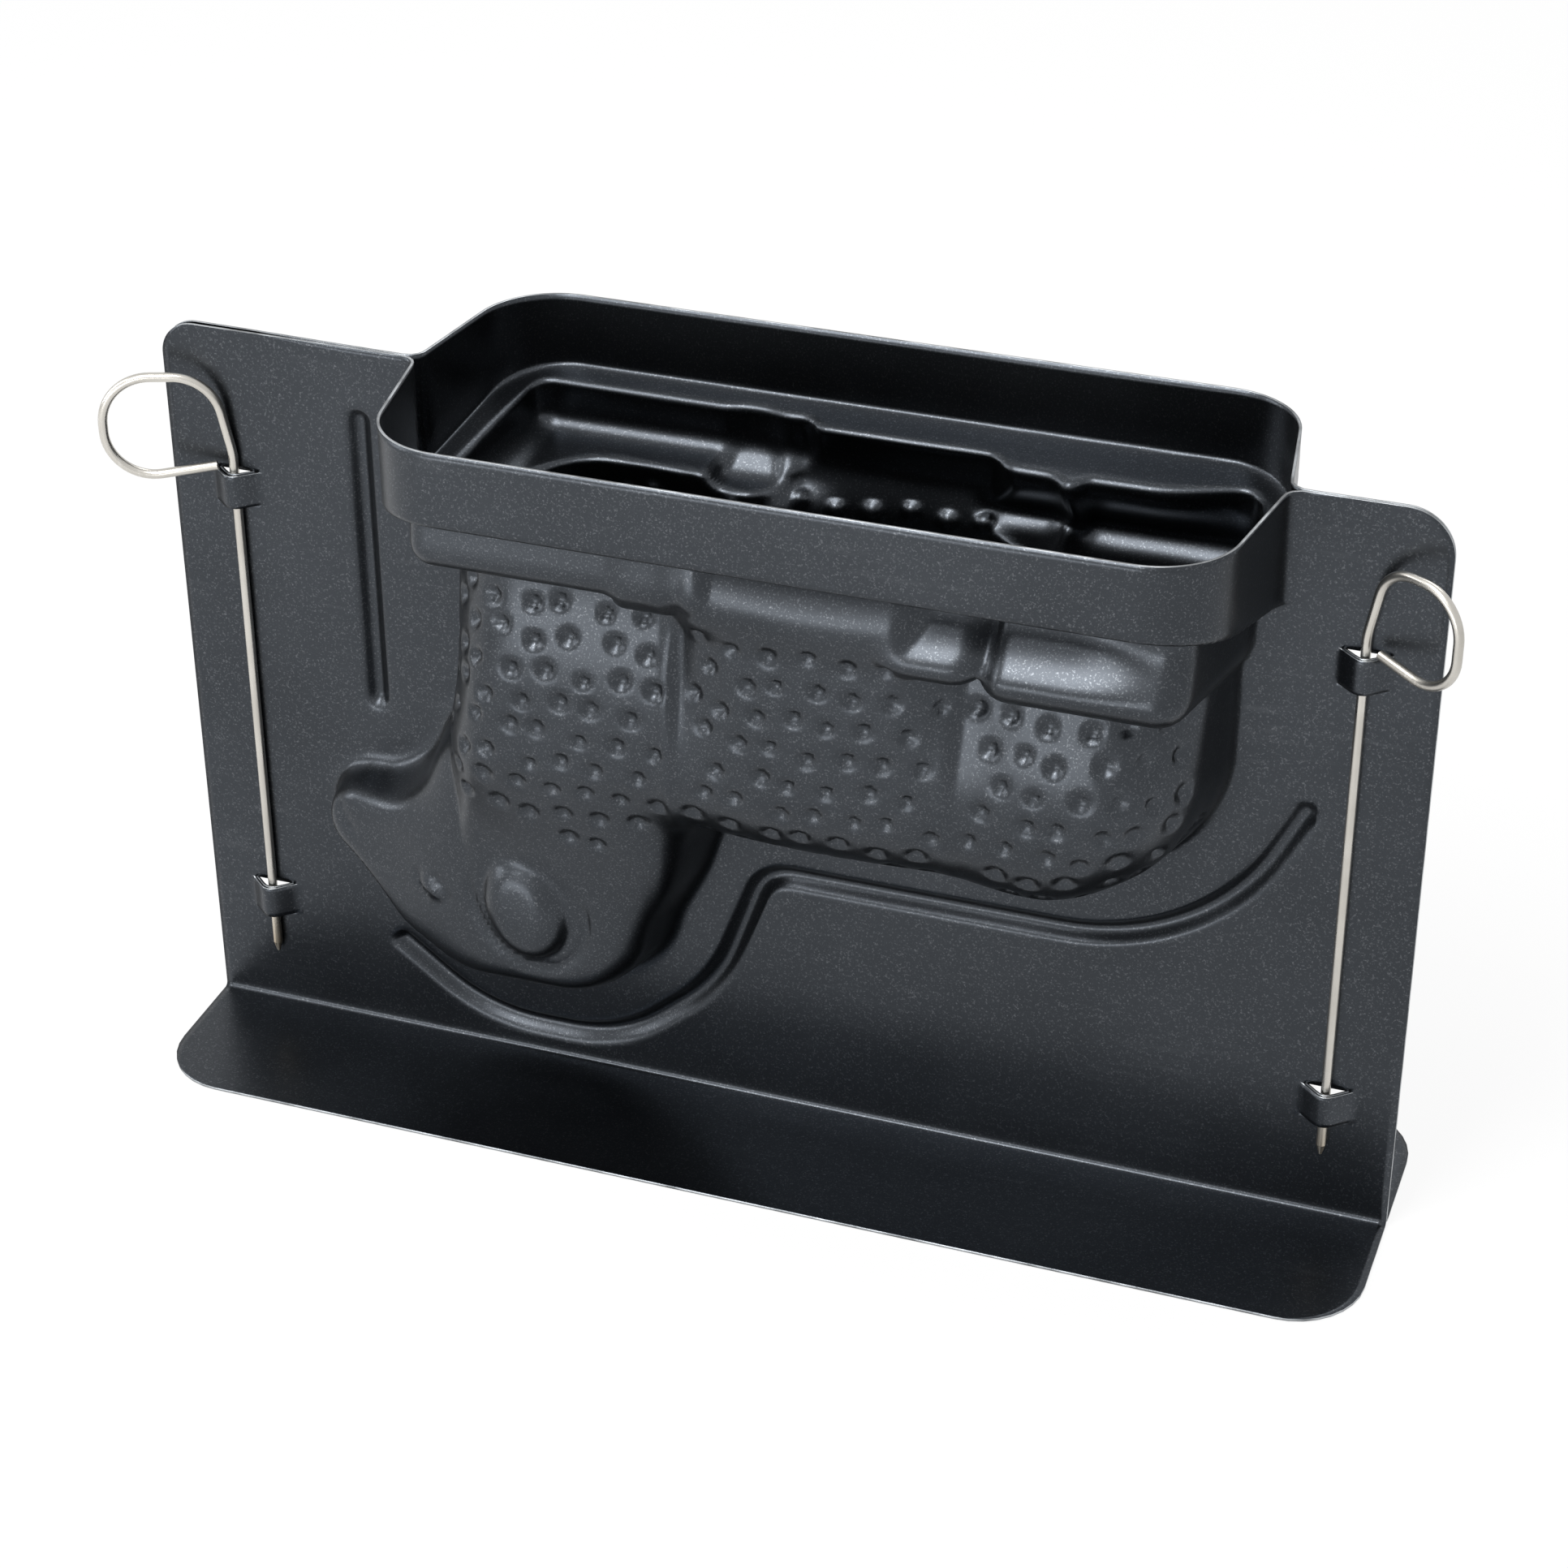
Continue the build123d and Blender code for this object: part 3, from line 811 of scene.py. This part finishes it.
def rub_group():
    """Light rub marks: thin stretched streaks that come and go."""
    name = "Rub Marks"
    if name in bpy.data.node_groups:
        return bpy.data.node_groups[name]
    group, source, result = new_group(
        name,
        [("Vector", "NodeSocketVector", None), ("Stretch", "NodeSocketVector", (1.0, 1.0, 1.0)),
         ("Scale", "NodeSocketFloat", 200.0)],
        [("Marks", "NodeSocketFloat")])
    nodes, links = group.nodes, group.links
    stretch = add(nodes, "ShaderNodeVectorMath", operation="MULTIPLY")
    links.new(source.outputs["Vector"], stretch.inputs[0])
    links.new(source.outputs["Stretch"], stretch.inputs[1])
    streaks = add(nodes, "ShaderNodeTexNoise", inputs={"Detail": 4.0, "Roughness": 0.65})
    links.new(stretch.outputs[0], streaks.inputs["Vector"])
    links.new(source.outputs["Scale"], streaks.inputs["Scale"])
    patches = add(nodes, "ShaderNodeTexNoise", inputs={"Scale": 18.0, "Detail": 2.0})
    links.new(source.outputs["Vector"], patches.inputs["Vector"])
    thin = add(nodes, "ShaderNodeMapRange", inputs={"From Min": 0.56, "From Max": 0.72})
    links.new(streaks.outputs["Fac"], thin.inputs["Value"])
    some = add(nodes, "ShaderNodeMapRange", inputs={"From Min": 0.42, "From Max": 0.66})
    links.new(patches.outputs["Fac"], some.inputs["Value"])
    both = add(nodes, "ShaderNodeMath", operation="MULTIPLY")
    links.new(thin.outputs["Result"], both.inputs[0])
    links.new(some.outputs["Result"], both.inputs[1])
    links.new(both.outputs[0], result.inputs["Marks"])
    return group


def new_material(name, values):
    """A node material with its Principled shader's own values set."""
    material = bpy.data.materials.new(name)
    material.use_nodes = True
    nodes = material.node_tree.nodes
    shader = nodes["Principled BSDF"]
    for key, value in values.items():
        shader.inputs[key].default_value = value
    place = nodes.new("ShaderNodeTexCoord").outputs["Object"]
    return material, nodes, material.node_tree.links, shader, place


def use_group(nodes, links, group, place, values):
    """Place a node group, with its own values."""
    node = nodes.new("ShaderNodeGroup")
    node.node_tree = group
    links.new(place, node.inputs["Vector"])
    for key, value in values.items():
        node.inputs[key].default_value = value
    return node


def mixed(nodes, links, share, a, b):
    """One colour turning into another by a share; each is a colour or a node's output."""
    mix = nodes.new("ShaderNodeMix")
    mix.data_type = "RGBA"
    links.new(share, mix.inputs["Factor"])
    for name, value in (("A", a), ("B", b)):
        socket = next(s for s in mix.inputs if s.name == name and s.type == "RGBA")
        if isinstance(value, bpy.types.NodeSocket):
            links.new(value, socket)
        else:
            socket.default_value = value
    return next(s for s in mix.outputs if s.type == "RGBA")


def ranged(nodes, links, value, low, high, from_low=0.0, from_high=1.0):
    """A value carried from one range to another."""
    node = add(nodes, "ShaderNodeMapRange", inputs={
        "From Min": from_low, "From Max": from_high, "To Min": low, "To Max": high})
    links.new(value, node.inputs["Value"])
    return node.outputs["Result"]


def coating_material(finish):
    """Satin anthracite non-stick coating with fine metal flakes."""
    name = "Speckled Coating"
    if name in bpy.data.materials:
        return bpy.data.materials[name]
    material, nodes, links, shader, place = new_material(name, {"Metallic": 1.0})
    grain = use_group(nodes, links, grain_group(), place, {
        "Grain Scale": 2000.0, "Cover": 0.44, "Mottle Scale": 16.0})
    rubs = use_group(nodes, links, rub_group(), place, {"Stretch": (0.12, 1.0, 1.0), "Scale": 420.0})
    dark = tuple(0.86 * c for c in finish.coating[:3]) + (1.0,)
    tone = mixed(nodes, links, ranged(nodes, links, grain.outputs["Mottle"], 0, 1, 0.35, 0.65), dark,
                 tuple(finish.coating))
    flakes = ranged(nodes, links, grain.outputs["Flakes"], 0, 0.8)
    speckled = mixed(nodes, links, flakes, tone, tuple(finish.flake))
    links.new(mixed(nodes, links, ranged(nodes, links, rubs.outputs["Marks"], 0, 0.10), speckled,
                    tuple(finish.flake)), shader.inputs["Base Color"])
    links.new(ranged(nodes, links, grain.outputs["Mottle"], 0.29, 0.34, 0.3, 0.7), shader.inputs["Roughness"])
    bump = add(nodes, "ShaderNodeBump", inputs={"Strength": 0.2, "Distance": 0.00006})
    links.new(grain.outputs["Height"], bump.inputs["Height"])
    links.new(bump.outputs["Normal"], shader.inputs["Normal"])
    return material


def edge_material(finish):
    """The sheet's cut edge, where the steel shows through the thin coating."""
    name = "Cut Edge"
    if name in bpy.data.materials:
        return bpy.data.materials[name]
    material, nodes, links, shader, place = new_material(name, {"Metallic": 1.0, "Roughness": 0.4})
    grain = use_group(nodes, links, grain_group(), place, {
        "Grain Scale": 900.0, "Cover": 0.55, "Mottle Scale": 90.0})
    dark = tuple(0.35 * c for c in finish.cut_edge[:3]) + (1.0,)
    links.new(mixed(nodes, links, ranged(nodes, links, grain.outputs["Mottle"], 0, 1, 0.35, 0.6), dark,
                    tuple(finish.cut_edge)), shader.inputs["Base Color"])
    links.new(ranged(nodes, links, grain.outputs["Flakes"], 0.34, 0.5), shader.inputs["Roughness"])
    return material


def wire_material(finish):
    """Drawn spring steel wire, straw coloured where its ends were heated."""
    name = "Drawn Wire"
    if name in bpy.data.materials:
        return bpy.data.materials[name]
    material, nodes, links, shader, place = new_material(name, {"Metallic": 1.0})
    grain = use_group(nodes, links, grain_group(), place, {
        "Grain Scale": 1500.0, "Cover": 0.5, "Mottle Scale": 55.0})
    rubs = use_group(nodes, links, rub_group(), place, {"Stretch": (1.0, 1.0, 0.06), "Scale": 900.0})
    where = nodes.new("ShaderNodeSeparateXYZ")
    links.new(place, where.inputs[0])
    heat = ranged(nodes, links, where.outputs["Z"], 1.0, 0.0, 0.020, 0.034)
    warm = mixed(nodes, links, heat, tuple(finish.wire), HEATED_STEEL)
    worn = mixed(nodes, links, ranged(nodes, links, grain.outputs["Mottle"], 0, 0.5, 0.35, 0.7), warm,
                 DULL_STEEL)
    links.new(mixed(nodes, links, ranged(nodes, links, rubs.outputs["Marks"], 0, 0.5), worn,
                    RUBBED_STEEL), shader.inputs["Base Color"])
    links.new(ranged(nodes, links, grain.outputs["Mottle"], 0.22, 0.36, 0.3, 0.7), shader.inputs["Roughness"])
    bump = add(nodes, "ShaderNodeBump", inputs={"Strength": 0.15, "Distance": 0.00005})
    links.new(rubs.outputs["Marks"], bump.inputs["Height"])
    links.new(bump.outputs["Normal"], shader.inputs["Normal"])
    return material


def seen_directly(nodes, links):
    """1 for rays from the camera and for those that a mirror or glass sends on."""
    rays = nodes.new("ShaderNodeLightPath")
    first = add(nodes, "ShaderNodeMath", operation="MAXIMUM")
    both = add(nodes, "ShaderNodeMath", operation="MAXIMUM")
    links.new(rays.outputs["Is Camera Ray"], first.inputs[0])
    links.new(rays.outputs["Is Glossy Ray"], first.inputs[1])
    links.new(first.outputs[0], both.inputs[0])
    links.new(rays.outputs["Is Transmission Ray"], both.inputs[1])
    return both.outputs[0]


# Operators

def build_shell(context, name, body, node, front):
    """One half with its coating and its cut edge."""
    settings, finish = context.scene.mould_sheet, context.scene.mould_finish
    piece = build_half(settings, shared_lines(settings), name, body, node, front)
    piece.data.materials.append(coating_material(finish))
    piece.data.materials.append(edge_material(finish))


class MOULD_OT_front_half(bpy.types.Operator):
    """Build the front half of the mould"""

    bl_idname = "cake_mould.front_half"
    bl_label = "Front Half"

    def execute(self, context):
        build_shell(context, "front_shell", "front", "front_half", True)
        return {"FINISHED"}


class MOULD_OT_back_half(bpy.types.Operator):
    """Build the back half of the mould"""

    bl_idname = "cake_mould.back_half"
    bl_label = "Back Half"

    def execute(self, context):
        build_shell(context, "back_shell", "back", "back_half", False)
        return {"FINISHED"}


class MOULD_OT_pins(bpy.types.Operator):
    """Give the two wire pins their steel finish"""

    bl_idname = "cake_mould.pins"
    bl_label = "Wire Pins"

    def execute(self, context):
        for name in ("left_pin", "right_pin"):
            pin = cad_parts[name]
            pin.data.materials.clear()
            pin.data.materials.append(wire_material(context.scene.mould_finish))
        return {"FINISHED"}


class MOULD_OT_stage(bpy.types.Operator):
    """Set up the floor, the studio light and the camera"""

    bl_idname = "cake_mould.stage"
    bl_label = "Stage"

    def execute(self, context):
        build_floor()
        build_world(context.scene)
        for lamp in LAMPS:
            build_lamp(lamp)
        build_camera(context.scene)
        return {"FINISHED"}


def build_floor():
    """A wide plain pale floor just under the feet."""
    bm = bmesh.new()
    bmesh.ops.create_grid(bm, x_segments=1, y_segments=1, size=6)
    bmesh.ops.translate(bm, vec=(0, 0, -0.0003), verts=bm.verts)
    floor = finished_object(bm, "Floor")
    material = bpy.data.materials.new("Pale Floor")
    material.use_nodes = True
    nodes, links = material.node_tree.nodes, material.node_tree.links
    shader = nodes["Principled BSDF"]
    shader.inputs["Base Color"].default_value = (0.9, 0.9, 0.9, 1.0)
    shader.inputs["Roughness"].default_value = 0.9
    glow = add(nodes, "ShaderNodeEmission", inputs={"Color": WHITE, "Strength": 1.0})
    rays = nodes.new("ShaderNodeLightPath")
    share = add(nodes, "ShaderNodeMath", operation="MULTIPLY_ADD", inputs={1: 0.5})
    straight = add(nodes, "ShaderNodeMath", operation="MULTIPLY", inputs={1: 0.38})
    links.new(rays.outputs["Is Camera Ray"], straight.inputs[0])
    links.new(seen_directly(nodes, links), share.inputs[0])
    links.new(straight.outputs[0], share.inputs[2])
    mix = nodes.new("ShaderNodeMixShader")
    links.new(share.outputs[0], mix.inputs[0])
    links.new(shader.outputs[0], mix.inputs[1])
    links.new(glow.outputs[0], mix.inputs[2])
    links.new(mix.outputs[0], nodes["Material Output"].inputs["Surface"])
    floor.data.materials.append(material)


def build_world(scene):
    """A white room that lights the mould softly."""
    world = bpy.data.worlds.new("White Room")
    scene.world = world
    world.use_nodes = True
    nodes, links = world.node_tree.nodes, world.node_tree.links
    strength = add(nodes, "ShaderNodeMapRange", inputs={"To Min": 0.6, "To Max": 1.0})
    links.new(seen_directly(nodes, links), strength.inputs["Value"])
    links.new(strength.outputs["Result"], nodes["Background"].inputs["Strength"])
    nodes["Background"].inputs["Color"].default_value = WHITE


def build_lamp(lamp):
    """A soft rectangular lamp that faces the mould."""
    data = bpy.data.lights.new(lamp.name, "AREA")
    data.shape = "RECTANGLE"
    data.size, data.size_y = lamp.size
    data.energy = lamp.power
    piece = bpy.data.objects.new(lamp.name, data)
    bpy.context.scene.collection.objects.link(piece)
    piece.location = lamp.place
    piece.rotation_euler = (Vector(LAMP_AIM) - Vector(lamp.place)).to_track_quat("-Z", "Y").to_euler()


def build_camera(scene):
    """The camera, at the photograph's place and angle."""
    across = Vector((cos(CAMERA_TURN), sin(CAMERA_TURN), 0))
    flat = cos(CAMERA_CLIMB)
    back = Vector((sin(CAMERA_TURN) * flat, -cos(CAMERA_TURN) * flat, sin(CAMERA_CLIMB)))
    up = back.cross(across)
    level = across * cos(CAMERA_ROLL) + up * sin(CAMERA_ROLL)
    upright = up * cos(CAMERA_ROLL) - across * sin(CAMERA_ROLL)
    data = bpy.data.cameras.new("Camera")
    data.sensor_width = SENSOR_WIDTH
    data.lens = SENSOR_WIDTH * CAMERA_FOCAL / FRAME_WIDTH
    data.clip_start = 0.05
    camera = bpy.data.objects.new("Camera", data)
    scene.collection.objects.link(camera)
    pose = Matrix((level, upright, back)).transposed().to_4x4()
    pose.translation = Vector(CAMERA_PLACE)
    camera.matrix_world = pose
    scene.camera = camera
    scene.view_settings.view_transform = "Standard"


class MOULD_PT_panel(bpy.types.Panel):
    """The sizes, colours and steps of the cake mould"""

    bl_idname = "MOULD_PT_panel"
    bl_label = "Cake Mould"
    bl_space_type = "VIEW_3D"
    bl_region_type = "UI"
    bl_category = "Cake Mould"

    def draw(self, context):
        for settings in (context.scene.mould_sheet, context.scene.mould_finish):
            for name in settings.__annotations__:
                self.layout.prop(settings, name)
        for operator in STEPS:
            self.layout.operator(operator.bl_idname)


STEPS = (MOULD_OT_front_half, MOULD_OT_back_half, MOULD_OT_pins, MOULD_OT_stage)
CLASSES = (MouldSheet, MouldFinish) + STEPS + (MOULD_PT_panel,)


def register():
    for cls in CLASSES:
        bpy.utils.register_class(cls)
    bpy.types.Scene.mould_sheet = PointerProperty(type=MouldSheet)
    bpy.types.Scene.mould_finish = PointerProperty(type=MouldFinish)


def unregister():
    del bpy.types.Scene.mould_finish
    del bpy.types.Scene.mould_sheet
    for cls in reversed(CLASSES):
        bpy.utils.unregister_class(cls)


def main():
    register()
    bpy.ops.cake_mould.front_half()
    bpy.ops.cake_mould.back_half()
    bpy.ops.cake_mould.pins()
    bpy.ops.cake_mould.stage()


if __name__ == "__main__":
    main()
